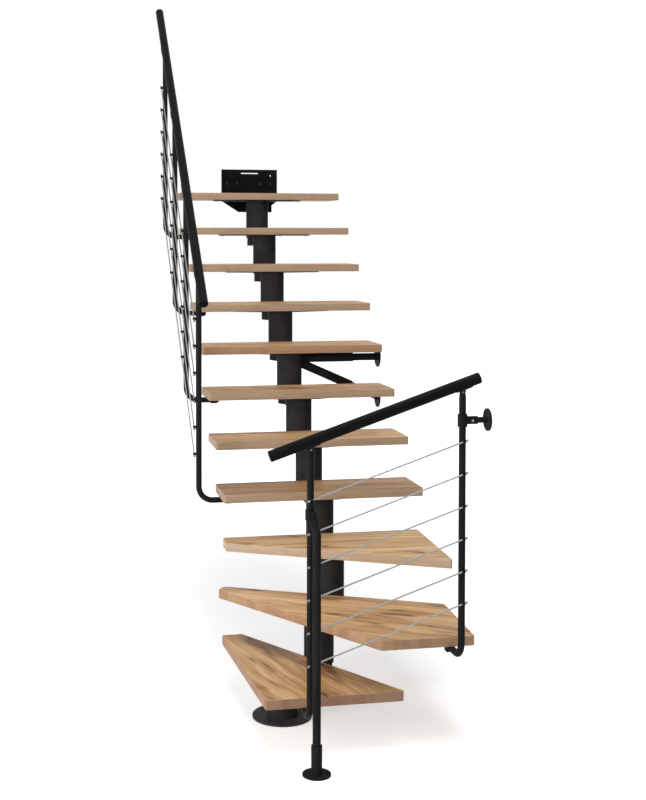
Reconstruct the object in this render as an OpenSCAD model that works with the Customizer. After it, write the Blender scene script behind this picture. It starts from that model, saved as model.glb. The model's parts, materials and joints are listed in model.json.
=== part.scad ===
// Modular quarter-turn staircase on a central stringer of stacked tubular modules.
// Frame: +Z up, origin at the centre of the floor flange's underside, which lies on the floor.
// The stair is entered along +X and climbs away along +Y after the turn. Millimetres.

/* [Stair] */
// Height from one tread to the next
rise = 195; // [180:1:215]
// Height of the first tread above the floor
first_rise = 225; // [210:1:240]
// Distance between two module axes, seen from above
going = 225; // [215:1:240]
// Length of the straight treads
stair_w = 900; // [840:5:960]

/* [Treads] */
// Thickness of a tread
tread_t = 37; // [28:1:44]
// How far a tread reaches under the one above
nosing_lap = 43; // [30:1:55]
// Radius of the treads' corners
corner_r = 10; // [2:1:16]

/* [Turn] */
// Heading of the arm of module 1, from the X axis
heading_1 = 36; // [30:1:42]
// Heading of the arm of module 2
heading_2 = 65; // [60:1:70]
// Heading of the arm of module 3
heading_3 = 88; // [84:1:90]
// Distance from the first module's axis to the outer side of the turn
outer_reach = 425; // [400:5:460]
// Slope of the front edge of tread 2 against the X axis
nosing_2_angle = 58.4; // [55:0.1:61]
// Slope of the front edge of tread 3 against the X axis
nosing_3_angle = 27.8; // [25:0.1:30]
// Taper of the winders' outer ends
end_taper = 3; // [0:0.1:4]

/* [Modules] */
// Outside diameter of the module tubes
tube_d = 124; // [114:1:128]
// Wall of the module tubes
tube_wall = 5; // [4:0.5:6]
// Play between a tube and the spigot inside it
spigot_play = 1; // [0.5:0.1:1.5]
// Depth of the spigot below the tread that it passes
spigot_drop = 62; // [56:1:72]
// Height of the tube's lower end below the tread that it passes
tube_drop = 18; // [14:1:22]
// Width of the arm
arm_w = 70; // [60:1:80]
// Length of the carrier plate under a tread
carrier_l = 500; // [440:5:540]
// Thickness of the carrier plate
carrier_t = 6; // [5:0.5:8]

/* [Railing] */
// Diameter of the posts
post_d = 26; // [24:1:30]
// Distance from the treads' ends to the post axes
post_out = 90; // [80:1:100]
// Bend radius of a post's foot
post_bend_r = 62; // [50:1:68]
// Height of the handrail's axis above the tread at a post
rail_h = 968; // [925:1:1000]
// Room for a saddle between a post's head and a level handrail's underside
saddle_gap = 22; // [20:1:26]
// Diameter of the handrails
rail_d = 42; // [38:1:46]
// Diameter of the railing rods
rod_d = 6; // [5:0.5:7]
// Distance from a post's surface to the rods' axes
rod_out = 8; // [6:0.5:12]
// Diameter of the holders that carry the rods on the posts
holder_d = 13; // [11:0.5:15]
// Height of the lowest rod above the tread at a post
rod_first_h = 158; // [140:1:170]
// Vertical distance between two rods
rod_step = 120; // [110:1:125]
// Distance between the two posts of the turn
turn_post_gap = 573; // [540:1:600]

/* [Fixings] */
// Diameter of the floor flange
floor_flange_d = 240; // [220:1:250]
// Thickness of the floor flange
floor_flange_t = 8; // [6:1:10]
// Diameter of the round wall and foot flanges
wall_flange_d = 104; // [90:1:110]
// Diameter of the upper post's wall flange
post_flange_d = 84; // [76:1:90]
// Gap between the straight treads' right ends and the wall
wall_gap = 8; // [7:1:20]
// Width of the landing plate
landing_w = 326; // [300:1:340]
// Height of the landing plate above the last tread
landing_up = 145; // [120:1:150]

/* [Hidden] */
TREADS = 11;
ROD_ROWS = 6;
BRACED = 7;
TURN_TREADS = 3;
POST_TREADS = [4, 6, 8, 10];

black = "#1d1d1f";
oak = "#c39a6c";
steel = "#b9bcc0";

tube_r = tube_d / 2;
spigot_r = tube_r - tube_wall - spigot_play;
edge_gap = 1;
headings = [heading_1, heading_2, heading_3];
tread_back = going - tube_r - edge_gap;
tread_depth = going + nosing_lap;
tread_front = tread_depth - tread_back;
arm_h = spigot_drop - tube_drop;
spigot_in = 90;
cap_t = 8;
carrier_mid_w = 170;
carrier_end_w = 36;
carrier_mid_l = 140;
post_r = post_d / 2;
holder_bore_d = rod_d + 0.4;
saddle_h = saddle_gap + rail_d / 2;
post_h = rail_h - saddle_h;
wall_reach = stair_w / 2 + wall_gap;
fine = 64;

function heading(n) = n <= TURN_TREADS ? headings[n - 1] : 90;
function step_xy(n) = going * [cos(heading(n)), sin(heading(n))];
function axis_xy(n) = n == 1 ? [0, 0] : axis_xy(n - 1) + step_xy(n - 1);
function tread_top(n) = first_rise + (n - 1) * rise;
function tread_bottom(n) = tread_top(n) - tread_t;

flight_x = axis_xy(TURN_TREADS + 1)[0];
flight_y = axis_xy(TURN_TREADS + 1)[1];
left_x = flight_x - stair_w / 2;
right_x = flight_x + stair_w / 2;
outer_y = -outer_reach;
flight_slope = atan(rise / going);
flight_run = (POST_TREADS[3] - POST_TREADS[0]) * going;
turn_slope = atan(rise / turn_post_gap);
post_x = left_x - post_out;
post_y = outer_y - post_out;

module place(n) {
    translate([axis_xy(n)[0], axis_xy(n)[1], tread_bottom(n)]) rotate([0, 0, heading(n)]) children();
}

module ring(d, wall, h) {
    difference() {
        cylinder(d = d, h = h, $fn = fine);
        translate([0, 0, -1]) cylinder(d = d - 2 * wall, h = h + 2, $fn = fine);
    }
}

// A flat plate in the XY plane with its corners rounded by short straight facets
module rounded_plate(points, t) {
    linear_extrude(height = t) offset(r = corner_r, $fn = 32) offset(delta = -corner_r) polygon(points);
}

module floor_flange() {
    hole_r = 93;
    holes = 4;
    difference() {
        union() {
            color(black) cylinder(d = floor_flange_d, h = floor_flange_t, $fn = 96);
            color(black) cylinder(r = spigot_r, h = spigot_in, $fn = fine);
        }
        for (i = [0 : holes - 1]) rotate([0, 0, 45 + i * 360 / holes]) translate([hole_r, 0, -1])
            cylinder(d = 12, h = floor_flange_t + 2, $fn = 32);
        translate([0, 0, floor_flange_t]) cylinder(r = spigot_r - tube_wall, h = spigot_in, $fn = fine);
    }
}

// Carrier plate, long across the heading and drawn in at its ends
module carrier(length) {
    half = length / 2;
    mid = carrier_mid_l / 2;
    translate([0, 0, -carrier_t]) difference() {
        linear_extrude(height = carrier_t) polygon([
            [-carrier_end_w / 2, -half], [carrier_end_w / 2, -half],
            [carrier_mid_w / 2, -mid], [carrier_mid_w / 2, mid],
            [carrier_end_w / 2, half], [-carrier_end_w / 2, half],
            [-carrier_mid_w / 2, mid], [-carrier_mid_w / 2, -mid]]);
        for (side = [-1, 1]) for (k = [0.36, 0.92]) translate([0, side * half * k, -1])
            cylinder(d = 7, h = carrier_t + 2, $fn = 24);
    }
}

// One module: the tube below its tread, the carrier plate on it, and the arm with the next tube's spigot
module stair_module(n) {
    bottom = n == 1 ? floor_flange_t : tread_bottom(n - 1) - tube_drop;
    tube_h = tread_bottom(n) - bottom;
    color(black) place(n) {
        translate([0, 0, -tube_h]) ring(tube_d, tube_wall, tube_h - carrier_t);
        translate([0, 0, -carrier_t - cap_t]) cylinder(r = tube_r - tube_wall / 2, h = cap_t, $fn = fine);
        carrier(carrier_l);
        if (n < TREADS) {
            translate([tube_r - 2 * tube_wall, -arm_w / 2, -spigot_drop])
                cube([going - tube_r - spigot_r + 4 * tube_wall, arm_w, arm_h]);
            translate([tube_r - tube_wall / 2, -arm_w / 4, -tube_drop - 1])
                cube([going - 2 * tube_r - 1, arm_w / 2, tube_drop + 1 - carrier_t / 2]);
            translate([going, 0, -spigot_drop]) cylinder(r = spigot_r, h = spigot_drop + spigot_in, $fn = fine);
        } else {
            translate([tube_r - 2 * tube_wall, -arm_w / 2, -spigot_drop])
                cube([landing_y - axis_xy(n)[1] - tube_r + 2 * tube_wall, arm_w, spigot_drop - carrier_t / 2]);
        }
    }
}

module straight_tread(n) {
    w = stair_w / 2;
    color(oak) translate([axis_xy(n)[0], axis_xy(n)[1], tread_bottom(n)])
        rounded_plate([[-w, -tread_front], [w, -tread_front], [w, tread_back], [-w, tread_back]], tread_t);
}

// Where a line through p at a given slope below the X axis reaches a given y
function meet_y(p, slope, y) = [p[0] + (p[1] - y) / tan(slope), y];
function along(p, angle, d) = p + d * [cos(angle), sin(angle)];

wall_end_x = right_x - 14;
nose_3 = [left_x, flight_y - tread_front - 57];
back_3_y = flight_y - tube_r - edge_gap;
end_3_x = wall_end_x - 22;
nose_3_end = [end_3_x, nose_3[1] - (end_3_x - nose_3[0]) * tan(nosing_3_angle)];
nose_2 = [left_x - 37, nose_3[1] - 18];
inner_2 = [left_x - 8, nose_3[1] + 27];
back_2 = along(nose_3, 90 - nosing_3_angle, nosing_lap);
back_2_end_x = wall_end_x - 40;
back_2_end = [back_2_end_x, back_2[1] - (back_2_end_x - back_2[0]) * tan(nosing_3_angle)];
corner_2 = [back_2_end_x - (back_2_end[1] - outer_y) * tan(end_taper), outer_y];
inner_1 = [left_x - 24, nose_3[1] - 27];
back_1_gap = 53;
back_1 = axis_xy(2) - (tube_r + back_1_gap) * [sin(nosing_2_angle), cos(nosing_2_angle)];

winders = [
    [inner_1, [inner_1[0] + (inner_1[1] - outer_y) * tan(end_taper), outer_y],
        meet_y(back_1, nosing_2_angle, outer_y), meet_y(back_1, nosing_2_angle, inner_1[1])],
    [nose_2, meet_y(nose_2, nosing_2_angle, outer_y), corner_2, back_2_end, inner_2],
    [nose_3, nose_3_end, [wall_end_x, back_3_y], [left_x, back_3_y]]];

module tread(n) {
    if (n <= TURN_TREADS)
        color(oak) translate([0, 0, tread_bottom(n)]) rounded_plate(winders[n - 1], tread_t);
    else
        straight_tread(n);
}

landing_t = 8;
landing_y = axis_xy(TREADS)[1] + tread_back + 12;
landing_top = tread_top(TREADS) + landing_up;
landing_tongue = 64;
landing_x = flight_x - 14;

module landing_plate() {
    half = landing_w / 2;
    drop = -landing_up - tread_t;
    color(black) translate([landing_x, landing_y, landing_top]) rotate([90, 0, 0]) translate([0, 0, -landing_t])
        difference() {
            linear_extrude(height = landing_t) polygon([
                [-half, 0], [half, 0], [half, drop], [half - 32, drop - 24],
                [half - 32, drop - landing_tongue], [-half + 100, drop - landing_tongue], [-half, drop]]);
            translate([-landing_w * 0.15, -25, -1]) cube([100, 6, landing_t + 2]);
            for (x = [-130, -70, 66, 124]) translate([x, -80, -1]) cylinder(d = 13, h = landing_t + 2, $fn = 32);
            translate([124, -35, -1]) cylinder(d = 8, h = landing_t + 2, $fn = 32);
        }
}

// Set screws that clamp each tube on the spigot inside it, on the side away from the treads
module tube_screws() {
    color(steel) for (n = [2 : TREADS]) for (k = [0, 1])
        translate([axis_xy(n)[0], axis_xy(n)[1], tread_bottom(n - 1) + 30 + 38 * k])
            rotate([0, 0, heading(n)]) rotate([0, 90, 0]) translate([0, 0, tube_r]) cylinder(d = 12, h = 3, $fn = 6);
}

stay_z = tread_bottom(BRACED) - 32;
stay_x = flight_x;
stay_y = axis_xy(BRACED)[1];
stay_d = 44;
stay_rod_d = 36;
stay_fall = 24;
flange_t = 6;
stay_sleeve = 325;

module stay_frame(fall) {
    translate([stay_x, stay_y, stay_z]) rotate([0, 90 + fall, 0]) children();
}

module wall_bracket() {
    color(black) difference() {
        union() {
            stay_frame(0) ring_bar(stay_sleeve);
            stay_frame(stay_fall) ring_bar(stay_sleeve + 20);
        }
        translate([stay_x, stay_y, stay_z - 300]) cylinder(r = tube_r + 0.3, h = 600, $fn = fine);
    }
}

module ring_bar(l) {
    difference() {
        cylinder(d = stay_d, h = l, $fn = 48);
        translate([0, 0, 150]) cylinder(d = stay_rod_d + 1, h = l, $fn = 48);
    }
}

module wall_stay(fall) {
    reach = wall_reach / cos(fall);
    color(black) {
        intersection() {
            stay_frame(fall) translate([0, 0, 200]) cylinder(d = stay_rod_d, h = reach, $fn = 48);
            translate([stay_x, stay_y - 500, stay_z - 600]) cube([wall_reach - flange_t / 2, 1000, 1000]);
        }
        difference() {
            translate([stay_x + wall_reach - flange_t, stay_y, stay_z - wall_reach * tan(fall)])
                rotate([0, 90, 0]) cylinder(d = wall_flange_d, h = flange_t, $fn = fine);
            for (i = [0 : 2]) translate([stay_x + wall_reach - flange_t, stay_y, stay_z - wall_reach * tan(fall)])
                rotate([90 + 120 * i, 0, 0]) translate([0, 37, 0]) rotate([0, 90, 0])
                    translate([0, 0, -1]) cylinder(d = 7, h = flange_t + 2, $fn = 24);
        }
    }
}

// A railing post that stands at the origin and turns in under the tread towards +X.
// z = 0 is the tread's top.
module j_post(foot_l) {
    foot_z = -tread_t - post_r;
    translate([0, 0, foot_z + post_bend_r]) cylinder(r = post_r, h = post_h - foot_z - post_bend_r, $fn = 40);
    translate([post_bend_r, 0, foot_z + post_bend_r]) rotate([90, 0, 0])
        rotate([0, 0, 180]) rotate_extrude(angle = 90, $fn = fine)
            translate([post_bend_r, 0]) circle(r = post_r, $fn = 40);
    translate([post_bend_r, 0, foot_z]) rotate([0, 90, 0]) cylinder(r = post_r, h = foot_l, $fn = 40);
}

flight_post_y0 = flight_y - tread_front + 150;
foot_in = 95;

module flight_post(n) {
    color(black) translate([post_x, flight_post_y0 + (n - TURN_TREADS - 1) * going, tread_top(n)])
        j_post(foot_in);
}

module turn_post(i) {
    color(black) translate([(i - 1) * turn_post_gap, post_y, tread_top(i)]) rotate([0, 0, 90]) j_post(foot_in);
}

// Clips that hold the posts' feet against the treads' undersides
module clip() {
    wrap = 3;
    difference() {
        union() {
            translate([-15, -post_r - wrap, -tread_t - post_d - wrap]) cube([30, post_d + 2 * wrap, post_d + wrap]);
            translate([-15, -post_r - 20, -tread_t - wrap]) cube([30, post_d + 40, wrap]);
        }
        translate([-16, 0, -tread_t - post_r]) rotate([0, 90, 0]) cylinder(r = post_r + 0.05, h = 32, $fn = 40);
        translate([-16, -post_r, -tread_t - post_r]) cube([32, post_d, post_r + 1]);
    }
}

module post_clips() {
    clip_in = post_bend_r + foot_in - 25;
    color(black) {
        for (n = POST_TREADS)
            translate([post_x + clip_in, flight_post_y0 + (n - TURN_TREADS - 1) * going, tread_top(n)]) clip();
        for (i = [1, 2])
            translate([(i - 1) * turn_post_gap, post_y + clip_in, tread_top(i)]) rotate([0, 0, 90]) clip();
    }
}

// Railing frames: origin on the first post's axis at its tread's top, +X along the railing, -Y outwards
module turn_railing() {
    translate([0, post_y, tread_top(1)]) children();
}

module flight_railing() {
    translate([post_x, flight_post_y0, tread_top(POST_TREADS[0])]) rotate([0, 0, 90]) mirror([0, 1, 0]) children();
}

// Holder on a post at the origin, its cross bore along the rod
module rod_holder(slope) {
    head = 5;
    difference() {
        translate([0, -post_r + 2, 0]) rotate([90, 0, 0]) cylinder(d = holder_d, h = rod_out + head + 2, $fn = 32);
        cylinder(r = post_r, h = 2 * holder_d, center = true, $fn = 40);
        translate([0, -post_r - rod_out, 0]) rotate([0, 90 - slope, 0])
            cylinder(d = holder_bore_d, h = 2 * holder_d, center = true, $fn = 24);
    }
}

module railing_holders(run, climb, posts) {
    for (i = [0 : posts - 1]) for (k = [0 : ROD_ROWS - 1])
        translate([run * i / (posts - 1), 0, climb * i / (posts - 1) + rod_first_h + k * rod_step])
            rod_holder(atan(climb / run));
}

module rod_holders() {
    color(black) {
        turn_railing() railing_holders(turn_post_gap, rise, 2);
        flight_railing() railing_holders(flight_run, flight_run / going * rise, 4);
    }
}

// Rods in front of the posts, each with a round stop outside the end holders
module rods(run, slope) {
    over = holder_d / 2 + 1;
    stop_d = 9;
    stop_l = 8;
    length = run / cos(slope) + 2 * (over + stop_l + 2);
    for (k = [0 : ROD_ROWS - 1]) translate([run / 2, -post_r - rod_out, rod_first_h + k * rod_step + run / 2 * tan(slope)])
        rotate([0, 90 - slope, 0]) {
            cylinder(d = rod_d, h = length, center = true, $fn = 24);
            for (side = [-1, 1]) translate([0, 0, side * (length / 2 - stop_l / 2 - 2)])
                cylinder(d = stop_d, h = stop_l, center = true, $fn = 24);
        }
}

module railing_rods() {
    color(steel) {
        turn_railing() rods(turn_post_gap, turn_slope);
        flight_railing() rods(flight_run, flight_slope);
    }
}

// Saddle on a post's head: plug, fork, pivot screw and the plate under the handrail, rail along +X
module saddle(slope) {
    difference() {
        union() {
            cylinder(d = post_d - 6, h = saddle_gap - 4, $fn = 32);
            translate([-10, -7, 0]) cube([20, 14, saddle_gap + 2]);
            rotate([90, 0, 0]) translate([0, 8, -10]) cylinder(d = 12, h = 20, $fn = 24);
            translate([0, 0, saddle_h]) rotate([0, -slope, 0])
                translate([-35, -13, -rail_d / 2 - 6]) cube([70, 26, 10]);
        }
        translate([0, 0, saddle_h]) rotate([0, 90 - slope, 0])
            cylinder(d = rail_d, h = 3 * rail_d, center = true, $fn = 48);
    }
}

module rail_saddles() {
    color(black) {
        for (i = [1, 2])
            translate([(i - 1) * turn_post_gap, post_y, tread_top(i) + post_h]) saddle(turn_slope);
        for (n = POST_TREADS)
            translate([post_x, flight_post_y0 + (n - TURN_TREADS - 1) * going, tread_top(n) + post_h])
                rotate([0, 0, 90]) saddle(flight_slope);
    }
}

// Handrail with closed ends, reaching past the first and the last post
module handrail(before, run, slope, after) {
    wall = 2.5;
    length = before + run / cos(slope) + after;
    translate([0, 0, rail_h]) rotate([0, 90 - slope, 0]) translate([0, 0, -before]) difference() {
        cylinder(d = rail_d, h = length, $fn = 48);
        translate([0, 0, wall]) cylinder(d = rail_d - 2 * wall, h = length - 2 * wall, $fn = 48);
    }
}

module turn_handrail() {
    color(black) turn_railing() handrail(160, turn_post_gap, turn_slope, 70);
}

module flight_handrail() {
    color(black) flight_railing() handrail(212, flight_run, flight_slope, 382);
}

prop_d = 30;
prop_x = 10;
prop_out = 62;
prop_collar_z = tread_top(1) + 702;
prop_bend_h = 70;
prop_sleeve_d = 40;
prop_sleeve_h = 78;

module prop_tube() {
    prop_top = prop_collar_z - prop_bend_h;
    color(black) {
        translate([prop_x, post_y - prop_out, 30]) cylinder(d = prop_d, h = prop_top - 30, $fn = 40);
        hull() {
            translate([prop_x, post_y - prop_out, prop_top]) sphere(d = prop_d, $fn = 32);
            translate([prop_x / 2, post_y - prop_out / 2 - 10, prop_top + prop_bend_h * 0.7]) sphere(d = prop_d, $fn = 32);
        }
    }
}

module prop_collar() {
    color(black) difference() {
        union() {
            translate([0, post_y, prop_collar_z - 19]) cylinder(d = post_d + 12, h = 38, $fn = 40);
            translate([0, post_y - 36, prop_collar_z - 15]) cube([16, 30, 30]);
        }
        translate([0, post_y, prop_collar_z - 30]) cylinder(d = post_d, h = 60, $fn = 40);
    }
}

module prop_foot() {
    color(black) translate([prop_x, post_y - prop_out, 0]) difference() {
        union() {
            cylinder(d = wall_flange_d, h = flange_t, $fn = fine);
            cylinder(d = prop_sleeve_d, h = prop_sleeve_h + 30, $fn = 40);
        }
        translate([0, 0, 30]) cylinder(d = prop_d, h = 200, $fn = 40);
        for (i = [0 : 2]) rotate([0, 0, 90 + 120 * i]) translate([37, 0, -1]) cylinder(d = 7, h = flange_t + 2, $fn = 24);
    }
}

collar_z = tread_top(2) + 834;
collar_h = 46;
stub_d = 30;
stub_rod_d = 22;
post_wall_x = turn_post_gap + 100;

module post_wall_collar() {
    color(black) difference() {
        union() {
            translate([turn_post_gap, post_y, collar_z - collar_h / 2]) cylinder(d = post_d + 10, h = collar_h, $fn = 40);
            translate([turn_post_gap, post_y, collar_z]) rotate([0, 90, 0]) cylinder(d = stub_d, h = 57, $fn = 40);
        }
        translate([turn_post_gap, post_y, collar_z - collar_h]) cylinder(d = post_d, h = 2 * collar_h, $fn = 40);
        translate([turn_post_gap + 24, post_y, collar_z]) rotate([0, 90, 0]) cylinder(d = stub_rod_d, h = 60, $fn = 40);
    }
}

module post_wall_flange() {
    color(black) difference() {
        union() {
            translate([turn_post_gap + 24, post_y, collar_z]) rotate([0, 90, 0])
                cylinder(d = stub_rod_d, h = post_wall_x - turn_post_gap - 24 - 1, $fn = 40);
            translate([post_wall_x - flange_t, post_y, collar_z]) rotate([0, 90, 0])
                cylinder(d = post_flange_d, h = flange_t, $fn = fine);
        }
        for (i = [0 : 2]) translate([post_wall_x - flange_t, post_y, collar_z]) rotate([90 + 120 * i, 0, 0])
            translate([0, 30, 0]) rotate([0, 90, 0]) translate([0, 0, -1]) cylinder(d = 6, h = flange_t + 2, $fn = 24);
    }
}

floor_flange();
for (n = [1 : TREADS]) stair_module(n);
for (n = [1 : TREADS]) tread(n);
landing_plate();
tube_screws();
wall_bracket();
wall_stay(0);  // wall_stay_upper
wall_stay(stay_fall);  // wall_stay_lower
for (i = [1, 2]) turn_post(i);
for (n = POST_TREADS) flight_post(n);
post_clips();
rod_holders();
railing_rods();
rail_saddles();
turn_handrail();
flight_handrail();
prop_tube();
prop_collar();
prop_foot();
post_wall_collar();
post_wall_flange();
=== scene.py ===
# Modular quarter-turn staircase: finishes, fine detail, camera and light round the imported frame.
# All lengths are in metres.
import json
import math

import bpy
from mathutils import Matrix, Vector


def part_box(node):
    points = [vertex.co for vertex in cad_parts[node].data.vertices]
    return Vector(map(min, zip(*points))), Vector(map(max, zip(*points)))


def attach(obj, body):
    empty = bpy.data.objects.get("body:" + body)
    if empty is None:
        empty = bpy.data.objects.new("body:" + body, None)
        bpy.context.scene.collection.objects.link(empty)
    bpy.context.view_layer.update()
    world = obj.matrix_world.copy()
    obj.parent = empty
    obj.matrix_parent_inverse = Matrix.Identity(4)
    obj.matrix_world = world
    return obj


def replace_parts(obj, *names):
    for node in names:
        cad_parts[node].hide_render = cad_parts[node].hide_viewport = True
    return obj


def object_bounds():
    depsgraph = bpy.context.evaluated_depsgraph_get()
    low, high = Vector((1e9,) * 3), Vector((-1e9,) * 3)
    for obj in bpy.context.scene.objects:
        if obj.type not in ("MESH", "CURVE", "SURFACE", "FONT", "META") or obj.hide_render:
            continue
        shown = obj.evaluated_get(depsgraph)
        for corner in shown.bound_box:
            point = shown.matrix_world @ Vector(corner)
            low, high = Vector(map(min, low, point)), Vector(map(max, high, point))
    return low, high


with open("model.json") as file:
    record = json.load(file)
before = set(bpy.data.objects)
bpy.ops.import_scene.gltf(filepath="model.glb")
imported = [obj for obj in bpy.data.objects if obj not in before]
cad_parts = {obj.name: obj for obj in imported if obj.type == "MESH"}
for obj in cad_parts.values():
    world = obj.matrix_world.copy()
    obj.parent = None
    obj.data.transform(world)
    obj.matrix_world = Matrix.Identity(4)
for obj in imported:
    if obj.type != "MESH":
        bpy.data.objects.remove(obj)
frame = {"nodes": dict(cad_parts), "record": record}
cad_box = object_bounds()
nodes = frame["nodes"]

# ---- Sizes -------------------------------------------------------------------------------------

TREADS = 11
ARRIS = 0.0018          # radius of the boards' rounded edges
ARRIS_STEPS = 4
FLAT_RIM = 0.004        # flat ring inside a board's arris, which keeps its face shaded flat

POST_R = 0.013
RAIL_R = 0.021
PROP_R = 0.015
SADDLE_H = 0.043        # from a post's head up to the handrail's axis
TUBE_R = 0.062
ARM_HALF = 0.035        # half of an arm's width
ARM_SPAN = (0.018, 0.062)  # upper and lower side of an arm, below its tread
CARRIER_T = 0.006
CARRIER_HOLES = (-0.23, -0.09, 0.09, 0.23)
PLATE_T = 0.008         # landing plate and floor flange
RING_BEAD_R = 0.0028    # weld round a tube, under its carrier plate
ROOT_BEAD_R = 0.0026    # weld round the root of an arm
BALL_R = 0.0118         # ball of a saddle
LUG_RADII = [(0.0085, 0.0115), (0.0075, 0.0110), (0.0095, 0.0125)]
UP = Vector((0, 0, 1))

# Turned shapes, as (distance along the axis, radius)
NECK = [(0, 0.0105), (0.003, 0.0105), (0.0032, 0.0122), (0.0075, 0.0122), (0.009, 0.0105)]
SADDLE_SCREW = [(0, 0.0042), (0.0016, 0.0042), (0.0024, 0.0034), (0.0024, 0.0019), (0.0012, 0.0017)]
FLAT_SCREW = [(0, 0.0072), (0.0006, 0.0072), (0.0013, 0.0060), (0.0016, 0.0034), (0.0016, 0.0026),
              (0.0004, 0.0022)]
COLLAR_SCREW = [(0, 0.0048), (0.004, 0.0048), (0.0048, 0.004), (0.0048, 0.0024), (0.0030, 0.0022)]

# Direction of the grain in the winders, in degrees from the X axis; the straight treads have 0
WINDER_GRAIN = {1: -74, 2: -31, 3: -2}

CAMERA_PLACE = (-1.004, -4.975, 1.926)
CAMERA_TURN = 10.54     # degrees right of +Y
CAMERA_TILT = -1.9      # degrees above the horizon
CAMERA_LENS = 57.35
CAMERA_SHIFT = (0.075, -0.15)


# ---- Materials ---------------------------------------------------------------------------------

OAK_TONES = [(0.34, (0.27, 0.15, 0.067)), (0.43, (0.40, 0.245, 0.118)),
             (0.52, (0.51, 0.345, 0.185)), (0.65, (0.66, 0.485, 0.295))]
HEART_BROWN = (0.30, 0.155, 0.065, 1)
PORE_BROWN = (0.24, 0.13, 0.06, 1)
HALO_BROWN = (0.22, 0.10, 0.042, 1)
KNOT_BROWN = (0.10, 0.05, 0.024, 1)
CRACK_BROWN = (0.05, 0.026, 0.013, 1)


class Shade:
    """A material whose nodes are added by short calls; each call returns the socket it makes."""

    def __init__(self, name, roughness, metallic=0.0, specular=0.5):
        self.material = bpy.data.materials.new(name)
        self.material.use_nodes = True
        self.tree = self.material.node_tree
        self.shader = self.tree.nodes["Principled BSDF"]
        self.shader.inputs["Roughness"].default_value = roughness
        self.shader.inputs["Metallic"].default_value = metallic
        self.shader.inputs["Specular IOR Level"].default_value = specular

    def put(self, socket, value):
        if isinstance(value, bpy.types.NodeSocket):
            self.tree.links.new(value, socket)
        else:
            socket.default_value = value

    def add(self, kind, inputs, **settings):
        node = self.tree.nodes.new("ShaderNode" + kind)
        for key, value in settings.items():
            setattr(node, key, value)
        for key, value in inputs.items():
            self.put(node.inputs[key], value)
        return node

    def place(self):
        return self.add("TexCoord", {}).outputs["Object"]

    def sized(self, vector, size, turn=0.0, origin=(0, 0, 0)):
        """Coordinates turned about Z and counted in steps of the given size."""
        inputs = {"Vector": vector, "Location": origin, "Rotation": (0, 0, turn), "Scale": size}
        return self.add("Mapping", inputs, vector_type="TEXTURE").outputs["Vector"]

    def noise(self, vector, detail=2.0, rough=0.5):
        inputs = {"Vector": vector, "Scale": 1.0, "Detail": detail, "Roughness": rough}
        return self.add("TexNoise", inputs).outputs["Fac"]

    def math(self, operation, a, b=0.0):
        return self.add("Math", {0: a, 1: b}, operation=operation).outputs[0]

    def step(self, value, low, high, to_low=0.0, to_high=1.0):
        """A smooth step from low to high."""
        inputs = {"Value": value, "From Min": low, "From Max": high,
                  "To Min": to_low, "To Max": to_high}
        return self.add("MapRange", inputs, interpolation_type="SMOOTHSTEP").outputs["Result"]

    def mix(self, share, a, b, blend="MIX"):
        node = self.add("Mix", {0: share, 6: a, 7: b}, data_type="RGBA", blend_type=blend)
        return node.outputs[2]

    def ramp(self, value, stops):
        node = self.add("ValToRGB", {"Fac": value})
        elements = node.color_ramp.elements
        while len(elements) < len(stops):
            elements.new(0.5)
        for element, (at, colour) in zip(elements, stops):
            element.position = at
            element.color = (*colour, 1)
        return node.outputs["Color"]

    def bump(self, height, distance, strength=1.0):
        inputs = {"Height": height, "Distance": distance, "Strength": strength}
        self.put(self.shader.inputs["Normal"], self.add("Bump", inputs).outputs["Normal"])

    def finish(self, colour, roughness=None):
        self.put(self.shader.inputs["Base Color"], colour)
        if roughness is not None:
            self.put(self.shader.inputs["Roughness"], roughness)
        return self.material


def wandering(shade, grain):
    """Grain coordinates whose lines drift sideways, as round hidden knots."""
    drift = shade.noise(shade.sized(grain, (0.34, 0.10, 0.20)), 1.0)
    side = shade.math("MULTIPLY", shade.math("SUBTRACT", drift, 0.5), 0.07)
    shift = shade.add("CombineXYZ", {"Y": side}).outputs["Vector"]
    return shade.add("VectorMath", {0: grain, 1: shift}, operation="ADD").outputs["Vector"]


def oak_ground(s, lines):
    """Honey ground in long streaks with brown heart bands; also gives the streaks and the fine ones."""
    broad = s.noise(s.sized(lines, (0.75, 0.050, 0.07)), 4.0, 0.55)
    fine = s.noise(s.sized(lines, (0.45, 0.0110, 0.03), origin=(0.3, 0.9, 0.2)), 4.0, 0.62)
    streak = s.math("ADD", s.math("MULTIPLY", broad, 0.50), s.math("MULTIPLY", fine, 0.50))
    return s.ramp(streak, OAK_TONES), streak, fine


def oak_cracks(s, grain, lines, cracked):
    """Masks of the dark cracks and of the brown halo round them, where the board is cracked."""
    ridge = s.noise(s.sized(lines, (0.80, 0.075, 0.09), origin=(0.7, 0.2, 0.1)), 3.0, 0.55)
    edge = s.math("ABSOLUTE", s.math("SUBTRACT", ridge, 0.5))
    patch = s.noise(s.sized(grain, (0.30, 0.12, 0.16), origin=(0.2, 1.7, 0.4)), 1.0)
    near = s.step(patch, 0.60 - cracked, 0.70 - cracked)
    around = s.step(patch, 0.56 - cracked, 0.72 - cracked)
    crack = s.math("MULTIPLY", s.step(edge, 0.013, 0.003), near)
    return crack, s.math("MULTIPLY", s.step(edge, 0.11, 0.01), around)


def oak_knots(s, lines):
    """Mask of a few dark knots, drawn out along the grain."""
    knots = s.add("TexVoronoi", {"Vector": s.sized(lines, (0.20, 0.085, 0.15)), "Scale": 1.0})
    draw = s.add("SeparateColor", {0: knots.outputs["Color"]}).outputs[0]
    rare = s.math("GREATER_THAN", draw, 0.72)
    return s.math("MULTIPLY", s.step(knots.outputs["Distance"], 0.21, 0.05), rare)


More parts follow.
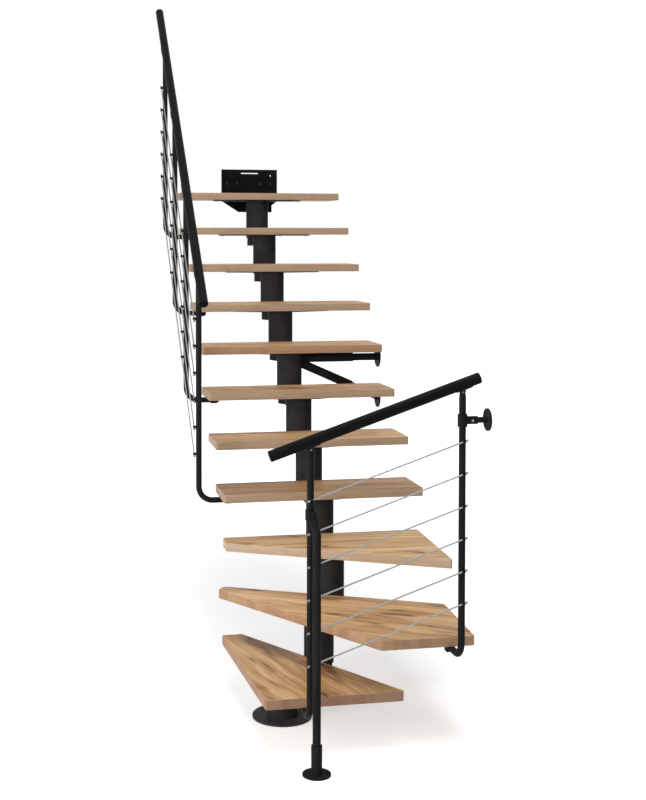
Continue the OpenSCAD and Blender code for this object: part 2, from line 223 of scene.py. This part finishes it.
def oak_face(name, heading, tone, wildness, cracked):
    """Wild-oak board face: honey ground, brown heart bands, pores, dark cracks and knots."""
    s = Shade(name, 0.5, specular=0.3)
    grain = s.sized(s.place(), (1, 1, 1), math.radians(heading))
    lines = wandering(s, grain)
    colour, streak, fine = oak_ground(s, lines)
    band = s.noise(s.sized(lines, (0.80, 0.085, 0.09), origin=(3.1, 0.4, 0)), 3.0, 0.55)
    pore = s.noise(s.sized(lines, (0.030, 0.0012, 0.004)), 1.0)
    crack, halo = oak_cracks(s, grain, lines, cracked)
    colour = s.mix(s.step(band, 0.50, 0.66, 0.0, 0.75 * wildness), colour, HEART_BROWN)
    colour = s.mix(s.step(pore, 0.62, 0.76, 0.0, 0.35), colour, PORE_BROWN)
    colour = s.mix(s.math("MULTIPLY", halo, 0.7 * wildness), colour, HALO_BROWN)
    colour = s.mix(s.math("MULTIPLY", oak_knots(s, lines), 0.85), colour, KNOT_BROWN)
    colour = s.mix(s.math("MULTIPLY", crack, 0.9), colour, CRACK_BROWN)
    colour = s.mix(1.0, colour, (*tone, 1), "MULTIPLY")
    relief = s.math("SUBTRACT", fine, s.math("ADD", crack, s.math("MULTIPLY", pore, 0.4)))
    s.bump(relief, 0.0004, 0.3)
    return s.finish(colour, s.step(streak, 0.3, 0.7, 0.56, 0.46))


def edge_band(name, heading, tint, bars):
    """Smooth edge strip, calmer than the face, with upright bars of the given strength."""
    s = Shade(name, 0.55, specular=0.3)
    place = s.place()
    lines = s.sized(place, (1, 1, 1), math.radians(heading))
    streak = s.noise(s.sized(lines, (0.22, 0.05, 0.0045)), 3.0, 0.55)
    blocks = s.noise(s.sized(place, (0.060, 0.08, 0.6)), 2.0, 0.5)
    dark, pale = [[c * share for c in tint] + [1] for share in (0.88, 1.10)]
    colour = s.mix(s.step(streak, 0.3, 0.7), dark, pale)
    warm = [tint[0] * 0.86, tint[1] * 0.76, tint[2] * 0.72, 1]
    colour = s.mix(s.step(blocks, 0.49, 0.58, 0.0, bars), colour, warm)
    s.bump(streak, 0.0002, 0.2)
    return s.finish(colour)


def powder_coat(name, tone, roughness, specular):
    """Black powder coat of the given tone: a fine orange-peel skin with cloudy gloss."""
    s = Shade(name, roughness, specular=specular)
    place = s.place()
    peel = s.noise(s.sized(place, (0.0016,) * 3), 2.0, 0.5)
    cloud = s.noise(s.sized(place, (0.09,) * 3), 3.0, 0.55)
    warm_black = [tone, tone * 0.98, tone * 0.98]
    stops = [(at, [c * share for c in warm_black]) for at, share in ((0.3, 0.8), (0.7, 1.2))]
    s.bump(peel, 0.00012, 0.35)
    gloss = s.step(cloud, 0.3, 0.7, roughness - 0.04, roughness + 0.05)
    return s.finish(s.ramp(cloud, stops), gloss)


def drawn_steel(name, colour, roughness):
    """Drawn stainless steel: fine scratches and a cloudy gloss."""
    s = Shade(name, roughness, metallic=1.0)
    scratch = s.noise(s.sized(s.place(), (0.004, 0.0006, 0.004)), 2.0, 0.6)
    dark = [c * 0.86 for c in colour] + [1]
    s.bump(scratch, 0.00005, 0.3)
    gloss = s.step(scratch, 0.3, 0.7, roughness, roughness + 0.1)
    return s.finish(s.mix(scratch, dark, [*colour, 1]), gloss)


# By tread, with the value of all other treads after it
FACE_TONES = {1: (1.08, 0.98, 0.85), 2: (1.18, 1.08, 0.98), 3: (1.18, 1.12, 1.00),
              4: (0.66, 0.56, 0.48)}
FACE_TONE = (1.00, 0.90, 0.80)
CRACKED = {1: 0.14, 2: 0.11, 6: 0.26}
LITTLE_CRACKED = 0.09
FRONT_TINTS = {1: (0.32, 0.185, 0.115), 2: (0.39, 0.240, 0.135), 3: (0.46, 0.33, 0.22),
               7: (0.34, 0.195, 0.108)}
FRONT_TINT = (0.36, 0.245, 0.158)

WILD_TREADS = (1, 2)
WILD = (1.0, 0.9)       # strength of the heart bands on the face and of the bars on the rim
CALM = (0.5, 0.15)

coat = powder_coat("black_powder_coat", 0.031, 0.42, 0.006)
flange_coat = powder_coat("flange_powder_coat", 0.058, 0.5, 0.03)
post_coat = powder_coat("post_powder_coat", 0.014, 0.44, 0.02)
rail_coat = powder_coat("rail_satin_coat", 0.006, 0.42, 0.03)
steel = drawn_steel("drawn_steel", (0.27, 0.27, 0.265), 0.42)
screw_steel = drawn_steel("dark_screw_steel", (0.14, 0.14, 0.145), 0.38)


def assign(obj, *materials):
    obj.data.materials.clear()
    for material in materials:
        obj.data.materials.append(material)


# ---- Mesh helpers ------------------------------------------------------------------------------

def piece(name, points, faces, slot, *materials):
    """A named mesh object, smooth but for its sharp edges."""
    mesh = bpy.data.meshes.new(name)
    mesh.from_pydata([tuple(p) for p in points], [], faces)
    obj = bpy.data.objects.new(name, mesh)
    bpy.context.scene.collection.objects.link(obj)
    assign(obj, *materials)
    mesh.polygons.foreach_set("use_smooth", [True] * len(mesh.polygons))
    mesh.set_sharp_from_angle(angle=math.radians(34))
    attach(obj, "root")
    return obj


def inset(outline, depth):
    """A convex outline moved inwards by depth."""
    moved = []
    count = len(outline)
    for i, point in enumerate(outline):
        before = (point - outline[i - 1]).normalized()
        after = (outline[(i + 1) % count] - point).normalized()
        normals = Vector((-before.y, before.x)), Vector((-after.y, after.x))
        moved.append(point + (normals[0] + normals[1]) * depth / (1 + normals[0].dot(normals[1])))
    return moved


def top_outline(node):
    """The outline of a board's upper face, anticlockwise."""
    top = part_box(node)[1].z
    corners = [v.co for v in nodes[node].data.vertices if v.co.z > top - 1e-5]
    points = [Vector(p) for p in {(round(c.x, 5), round(c.y, 5)) for c in corners}]
    centre = sum(points, Vector((0, 0))) / len(points)
    return sorted(points, key=lambda p: math.atan2(p.y - centre.y, p.x - centre.x))


def loft(sections, closed=False):
    """Points and faces of a skin over outlines with equally many points; an open one gets flat ends."""
    count = len(sections[0])
    points = [p for section in sections for p in section]
    spans = len(sections) if closed else len(sections) - 1
    faces = []
    for ring in range(spans):
        a, b = ring * count, (ring + 1) % len(sections) * count
        faces += [(a + i, a + (i + 1) % count, b + (i + 1) % count, b + i) for i in range(count)]
    if not closed:
        last = len(points) - count
        faces += [tuple(reversed(range(count))), tuple(last + i for i in range(count))]
    return points, faces


def circle(sides):
    """Angles of a circle's points."""
    return [2 * math.pi * k / sides for k in range(sides)]


def lathe(profile, origin, axis, sides=32):
    """A turned shape: profile lists (distance along the axis, radius)."""
    turn = Vector(axis).to_track_quat("Z", "Y").to_matrix()
    ring = [Vector((math.cos(a), math.sin(a), 0)) for a in circle(sides)]
    return loft([[Vector(origin) + turn @ (p * radius + UP * along) for p in ring]
                 for along, radius in profile])


def sweep(path, radii, up, sides=16, closed=False):
    """A tube along a path; radii gives a half width and a half height, along up, for each point."""
    sections = []
    for i, (centre, (wide, high)) in enumerate(zip(path, radii)):
        ahead = path[(i + 1) % len(path)] if closed or i + 1 < len(path) else centre
        behind = path[i - 1] if closed or i > 0 else centre
        side = (ahead - behind).cross(Vector(up)).normalized()
        lift = (ahead - behind).cross(side).normalized()
        sections.append([centre + side * wide * math.cos(a) + lift * high * math.sin(a)
                         for a in circle(sides)])
    return loft(sections, closed)


def build(name, shapes, slot, material):
    """One piece from several shapes."""
    points, faces = [], []
    for more, skin in shapes:
        faces += [tuple(i + len(points) for i in face) for face in skin]
        points += more
    return piece(name, points, faces, slot, material)


# ---- Treads ------------------------------------------------------------------------------------

def board_sections(node):
    """A board's outline from its lower to its upper face, drawn in where the arrises are."""
    low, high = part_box(node)
    outline = top_outline(node)
    quarter = [math.pi / 2 * k / ARRIS_STEPS for k in range(ARRIS_STEPS + 1)]
    lower = [(ARRIS + FLAT_RIM, low.z)]
    lower += [(ARRIS * (1 - math.sin(a)), low.z + ARRIS * (1 - math.cos(a))) for a in quarter]
    upper = [(depth, low.z + high.z - z) for depth, z in reversed(lower)]
    return [[Vector((p.x, p.y, z)) for p in inset(outline, depth)] for depth, z in lower + upper]


def board(n):
    """A tread as a board with rounded edges, its faces in wood decor and its rim in edge band."""
    node = f"tread_{n}"
    grain = WINDER_GRAIN.get(n, 0)
    wildness, bars = WILD if n in WILD_TREADS else CALM
    tone, cracked = FACE_TONES.get(n, FACE_TONE), CRACKED.get(n, LITTLE_CRACKED)
    face = oak_face(f"oak_face_{n}", grain, tone, wildness, cracked)
    band = edge_band(f"edge_band_{n}", grain, FRONT_TINTS.get(n, FRONT_TINT), bars)
    sections = board_sections(node)
    obj = piece(f"board_{n}", *loft(sections), "oak_board", face, band)
    rim = range(ARRIS_STEPS // 2 + 1, len(sections) - 2 - ARRIS_STEPS // 2)
    for polygon in obj.data.polygons:
        polygon.material_index = 1 if polygon.index // len(sections[0]) in rim else 0
    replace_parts(obj, node)


for n in range(1, TREADS + 1):
    board(n)


# ---- Places of the modules and posts -----------------------------------------------------------

def stem(n):
    """The axis of module n, seen from above: it stands on the spigot of the module before."""
    if n == 1:
        return Vector((0, 0, 0))
    spigot_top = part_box(f"module_{n - 1}")[1].z
    ring = [v.co for v in nodes[f"module_{n - 1}"].data.vertices if v.co.z > spigot_top - 1e-4]
    centre = sum(ring, Vector()) / len(ring)
    return Vector((centre.x, centre.y, 0))


STEMS = {n: stem(n) for n in range(1, TREADS + 1)}


def module_axes(n):
    """Directions along and across the arm of module n."""
    ahead = (STEMS[n + 1] - STEMS[n]).normalized() if n < TREADS else Vector((0, 1, 0))
    return ahead, Vector((-ahead.y, ahead.x, 0))


def post_head(node):
    """The top of a post's axis."""
    low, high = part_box(node)
    if node.startswith("post_turn"):
        return Vector(((low.x + high.x) / 2, low.y + POST_R, high.z))
    return Vector((low.x + POST_R, (low.y + high.y) / 2, high.z))


TURN_POSTS = ["post_turn_1", "post_turn_2"]
FLIGHT_POSTS = ["post_4", "post_6", "post_8", "post_10"]
TURN_CLIMB = (post_head("post_turn_2") - post_head("post_turn_1")).normalized()
FLIGHT_CLIMB = (post_head("post_10") - post_head("post_4")).normalized()


# ---- Handrails, saddles and prop ---------------------------------------------------------------

def handrail(node, climb):
    """A closed tube with softly rounded end caps; the seam of each cap is a fine groove."""
    low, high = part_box(node)
    level = Vector((climb.x, climb.y, 0))
    heading = level.normalized()
    middle = (low + high) / 2
    edge = middle + (low - middle).dot(heading) * heading
    end_rise = RAIL_R * level.length
    start = Vector((edge.x, edge.y, low.z)) + heading * RAIL_R * climb.z + UP * end_rise
    length = (high.z - low.z - 2 * end_rise) / climb.z
    soft, seam, groove = 0.004, 0.009, 0.0005
    quarter = [math.pi / 2 * (1 - k / 4) for k in range(5)]
    cap = [(soft * (1 - math.sin(a)), RAIL_R - soft * (1 - math.cos(a))) for a in quarter]
    cap += [(seam - groove, RAIL_R), (seam, RAIL_R - groove), (seam + groove, RAIL_R)]
    profile = cap + [(length - along, radius) for along, radius in reversed(cap)]
    obj = build(node + "_tube", [lathe(profile, start, climb, 48)], "rail_coat", rail_coat)
    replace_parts(obj, node)


def rail_plate(rail, climb, under, across):
    """A curved plate against the handrail's lower side, thinner at its two ends."""
    half_length, spread, thick, bite = 0.032, math.radians(58), 0.0034, 0.0004
    bend = [spread * (k / 6 - 1) for k in range(13)]
    rays = [under * math.cos(a) + across * math.sin(a) for a in bend]
    sections = []
    for along, share in ((-1, 0.35), (-0.96, 0.8), (-0.9, 1), (0.9, 1), (0.96, 0.8), (1, 0.35)):
        centre = rail + climb * along * half_length
        outer = [centre + ray * (RAIL_R + thick * share) for ray in rays]
        sections.append(outer + [centre + ray * (RAIL_R - bite) for ray in reversed(rays)])
    return loft(sections)


def saddle(head, climb):
    """Neck ring, ball and lug on a post's head, and the plate that holds the handrail."""
    across = UP.cross(climb).normalized()
    under = across.cross(climb)
    rail = head + UP * SADDLE_H
    arc = [math.pi * k / 12 for k in range(1, 12)]
    ball = [(BALL_R * (1 - math.cos(a)), BALL_R * math.sin(a)) for a in arc]
    lug_path = [head + UP * 0.012, head + UP * 0.017, rail + under * (RAIL_R + 0.001)]
    lug = sweep(lug_path, LUG_RADII, across)
    return [lathe(NECK, head, UP), lathe(ball, head + UP * 0.0035, UP), lug,
            rail_plate(rail, climb, under, across)]


def saddle_screw(head, outward):
    """The screw on the outer side of a saddle's ball."""
    return lathe(SADDLE_SCREW, head + UP * 0.014 + outward * 0.0105, outward, 16)


handrail("turn_handrail", TURN_CLIMB)
handrail("flight_handrail", FLIGHT_CLIMB)
heads = [(post_head(post), TURN_CLIMB, Vector((0, -1, 0))) for post in TURN_POSTS]
heads += [(post_head(post), FLIGHT_CLIMB, Vector((-1, 0, 0))) for post in FLIGHT_POSTS]
saddles = [shape for head, climb, _ in heads for shape in saddle(head, climb)]
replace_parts(build("saddles", saddles, "black_coat", post_coat), "rail_saddles")
saddle_screws = [saddle_screw(head, outward) for head, _, outward in heads]
build("saddle_screws", saddle_screws, "screw_steel", screw_steel)


def prop():
    """The first post's prop: a tube whose end is bent to the post and pressed flat."""
    low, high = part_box("prop_tube")
    at_post, at_collar = post_head("post_turn_1").x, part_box("prop_collar")[0].y
    foot = Vector((high.x - PROP_R, low.y + PROP_R, low.z))
    bend = Vector((foot.x, foot.y, high.z - 0.055))
    tip = Vector((at_post + 0.004, at_collar + 0.006, high.z - 0.004))
    path, radii = [foot, (foot + bend) / 2, bend], [(PROP_R, PROP_R)] * 3
    widened, flattened = 0.001, 0.0085
    for share in [k / 10 for k in range(1, 11)]:
        ease = share * share * (3 - 2 * share)
        aside = bend.lerp(tip, ease)
        path.append(Vector((aside.x, aside.y, bend.lerp(tip, share).z)))
        radii.append((PROP_R + widened * ease, PROP_R - flattened * ease))
    obj = build("prop_bar", [sweep(path, radii, (0, 1, 0), 32)], "black_coat", post_coat)
    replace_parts(obj, "prop_tube")


prop()


# ---- Welds, screws and bolts -------------------------------------------------------------------

def weld(n, path, radius):
    """A slightly uneven bead on module n's tube; path lists (angle from the arm, depth)."""
    ahead, across = module_axes(n)
    centre = STEMS[n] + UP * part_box(f"tread_{n}")[0].z
    points = [centre + (ahead * math.cos(a) + across * math.sin(a)) * TUBE_R - UP * depth
              for a, depth in path]
    swell = [1 + 0.14 * math.sin(2.7 * i) + 0.08 * math.sin(1.3 * i) for i in range(len(path))]
    return sweep(points, [(radius * s, radius * s) for s in swell], (0.02, 0.01, 1), 8, closed=True)


def module_welds(n):
    """Beads round the tube under the carrier plate and round the root of the arm."""
    half = math.asin(ARM_HALF / TUBE_R)
    top, low = (CARRIER_T, ARM_SPAN[1]) if n == TREADS else ARM_SPAN
    arc = [half * (k / 6 - 1) for k in range(13)]
    side = [top + (low - top) * k / 6 for k in range(1, 6)]
    root = [(a, top) for a in arc] + [(half, z) for z in side]
    root += [(a, low) for a in reversed(arc)] + [(-half, z) for z in reversed(side)]
    ring = [(a, CARRIER_T) for a in circle(72)]
    return [weld(n, ring, RING_BEAD_R), weld(n, root, ROOT_BEAD_R)]


def carrier_screws(n):
    """Flat screw heads under the carrier plate, which hold a tread from below."""
    place = STEMS[n] + UP * (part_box(f"tread_{n}")[0].z - CARRIER_T)
    across = module_axes(n)[1]
    return [lathe(FLAT_SCREW, place + across * reach, -UP, 20) for reach in CARRIER_HOLES]


def mount(name):
    """A mount's place and sizes in the record."""
    found = next(m for m in frame["record"]["mounts"] if m["name"] == name)
    return Vector(found["pos_m"]), found["dims"]


def flush_bolt(place, axis, hole_r):
    """A countersunk bolt head with a socket, flush in its hole."""
    profile = [(-0.007, hole_r * 0.93), (-0.0008, hole_r * 0.97), (-0.0003, hole_r * 0.93),
               (-0.0003, hole_r * 0.45), (-0.004, hole_r * 0.414)]
    return lathe(profile, place, axis, 24)


def landing_bolts(name):
    """The bolts of one pair on the landing plate's front."""
    centre, dims = mount(name)
    centre.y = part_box("landing_plate")[1].y - PLATE_T
    gap = Vector((dims["spacing_x_mm"] / 1000, 0, 0))
    hole_r = dims["hole_r_mm"] / 1000
    return [flush_bolt(centre + gap * side, (0, -1, 0), hole_r) for side in (-0.5, 0.5)]


def floor_bolts():
    """The bolts through the floor flange."""
    centre, dims = mount("floor_bolts")
    reach, hole_r = dims["pcd_mm"] / 2000, dims["hole_r_mm"] / 1000
    angles = [math.pi / 4 + a for a in circle(dims["count"])]
    places = [Vector((reach * math.cos(a), reach * math.sin(a), PLATE_T)) for a in angles]
    return [flush_bolt(centre + place, UP, hole_r) for place in places]


def collar_screw():
    """The clamping screw in the second post's wall collar."""
    low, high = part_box("post_wall_collar")
    place = Vector((low.x + 0.052, low.y + 0.003, (low.z + high.z) / 2))
    return lathe(COLLAR_SCREW, place, (0, -1, 0), 20)


welds, screws = [], []
for n in range(1, TREADS + 1):
    welds += module_welds(n)
    screws += carrier_screws(n)
build("weld_beads", welds, "black_coat", coat)
build("carrier_screws", screws, "screw_steel", screw_steel)
bolts = landing_bolts("landing_bolts_left") + landing_bolts("landing_bolts_right") + floor_bolts()
build("anchor_bolts", bolts, "black_coat", coat)
build("collar_screw", [collar_screw()], "screw_steel", steel)


# ---- Carried-over nodes ------------------------------------------------------------------------

def node_finish(name):
    """The material of a CAD node that shows."""
    if name == "floor_flange":
        return flange_coat
    if name == "landing_plate":
        return rail_coat
    if name == "railing_rods":
        return steel
    if name == "tube_screws":
        return screw_steel
    return post_coat if name.startswith(("post_", "prop_", "wall_", "rod_")) else coat


for name, obj in nodes.items():
    if not name.startswith("tread_"):
        assign(obj, node_finish(name))


# ---- Camera ------------------------------------------------------------------------------------

camera_data = bpy.data.cameras.new("camera")
camera_data.lens = CAMERA_LENS
camera_data.shift_x, camera_data.shift_y = CAMERA_SHIFT
camera = bpy.data.objects.new("camera", camera_data)
bpy.context.scene.collection.objects.link(camera)
camera.location = CAMERA_PLACE
camera.rotation_euler = (math.radians(90 + CAMERA_TILT), 0, math.radians(-CAMERA_TURN))
bpy.context.scene.camera = camera


# ---- Studio ------------------------------------------------------------------------------------

def seen_share(tree):
    """1 for rays from the camera, in mirrors and through glass, else 0."""
    path = tree.nodes.new("ShaderNodeLightPath")
    total = path.outputs["Is Camera Ray"]
    for name in ("Is Glossy Ray", "Is Transmission Ray"):
        most = tree.nodes.new("ShaderNodeMath")
        most.operation = "MAXIMUM"
        tree.links.new(total, most.inputs[0])
        tree.links.new(path.outputs[name], most.inputs[1])
        total = most.outputs[0]
    return total


def white_world(strength):
    """A world that shows white and lights the object at the given strength."""
    world = bpy.data.worlds.new("studio")
    world.use_nodes = True
    tree = world.node_tree
    seen = tree.nodes.new("ShaderNodeBackground")
    seen.inputs["Color"].default_value = (1, 1, 1, 1)
    light = tree.nodes["Background"]
    light.inputs["Color"].default_value = (0.96, 0.98, 1, 1)
    light.inputs["Strength"].default_value = strength
    mix = tree.nodes.new("ShaderNodeMixShader")
    tree.links.new(seen_share(tree), mix.inputs[0])
    tree.links.new(light.outputs[0], mix.inputs[1])
    tree.links.new(seen.outputs[0], mix.inputs[2])
    tree.links.new(mix.outputs[0], tree.nodes["World Output"].inputs["Surface"])
    bpy.context.scene.world = world


def floor(centre, reach):
    """A pale floor that catches the object's shadow and fades to white away from it."""
    mesh = bpy.data.meshes.new("floor")
    signs = ((-1, -1), (1, -1), (1, 1), (-1, 1))
    corners = [(centre.x + reach * x, centre.y + reach * y, 0) for x, y in signs]
    mesh.from_pydata(corners, [], [(0, 1, 2, 3)])
    obj = bpy.data.objects.new("floor", mesh)
    bpy.context.scene.collection.objects.link(obj)
    s = Shade("pale_floor", 1.0, specular=0.0)
    s.shader.inputs["Base Color"].default_value = (0.9, 0.9, 0.9, 1)
    s.shader.inputs["Emission Color"].default_value = (1, 1, 1, 1)
    away = s.add("VectorMath", {0: s.place(), 1: (centre.x, centre.y, 0)}, operation="DISTANCE")
    glow = s.step(away.outputs["Value"], 0.8, 4.4, 0.5, 1.0)
    s.put(s.shader.inputs["Emission Strength"], s.math("MULTIPLY", seen_share(s.tree), glow))
    assign(obj, s.material)


def softbox(name, place, aim, size, power):
    """A rectangular lamp of the given size and power in watts."""
    light = bpy.data.lights.new(name, "AREA")
    light.shape = "RECTANGLE"
    light.size, light.size_y = size
    light.energy = power
    obj = bpy.data.objects.new(name, light)
    bpy.context.scene.collection.objects.link(obj)
    obj.location = place
    obj.rotation_euler = (Vector(aim) - Vector(place)).to_track_quat("-Z", "Y").to_euler()


bpy.context.scene.view_settings.view_transform = "Standard"
middle = (cad_box[0] + cad_box[1]) / 2
white_world(0.28)
floor(middle, 14)
softbox("key", (-5.4, -1.9, 2.0), middle, (1.8, 3.8), 250)
softbox("top", (0.2, -0.6, 6.4), middle, (3.0, 4.0), 190)
softbox("front", (-3.0, -5.8, 3.2), middle, (2.4, 3.0), 105)
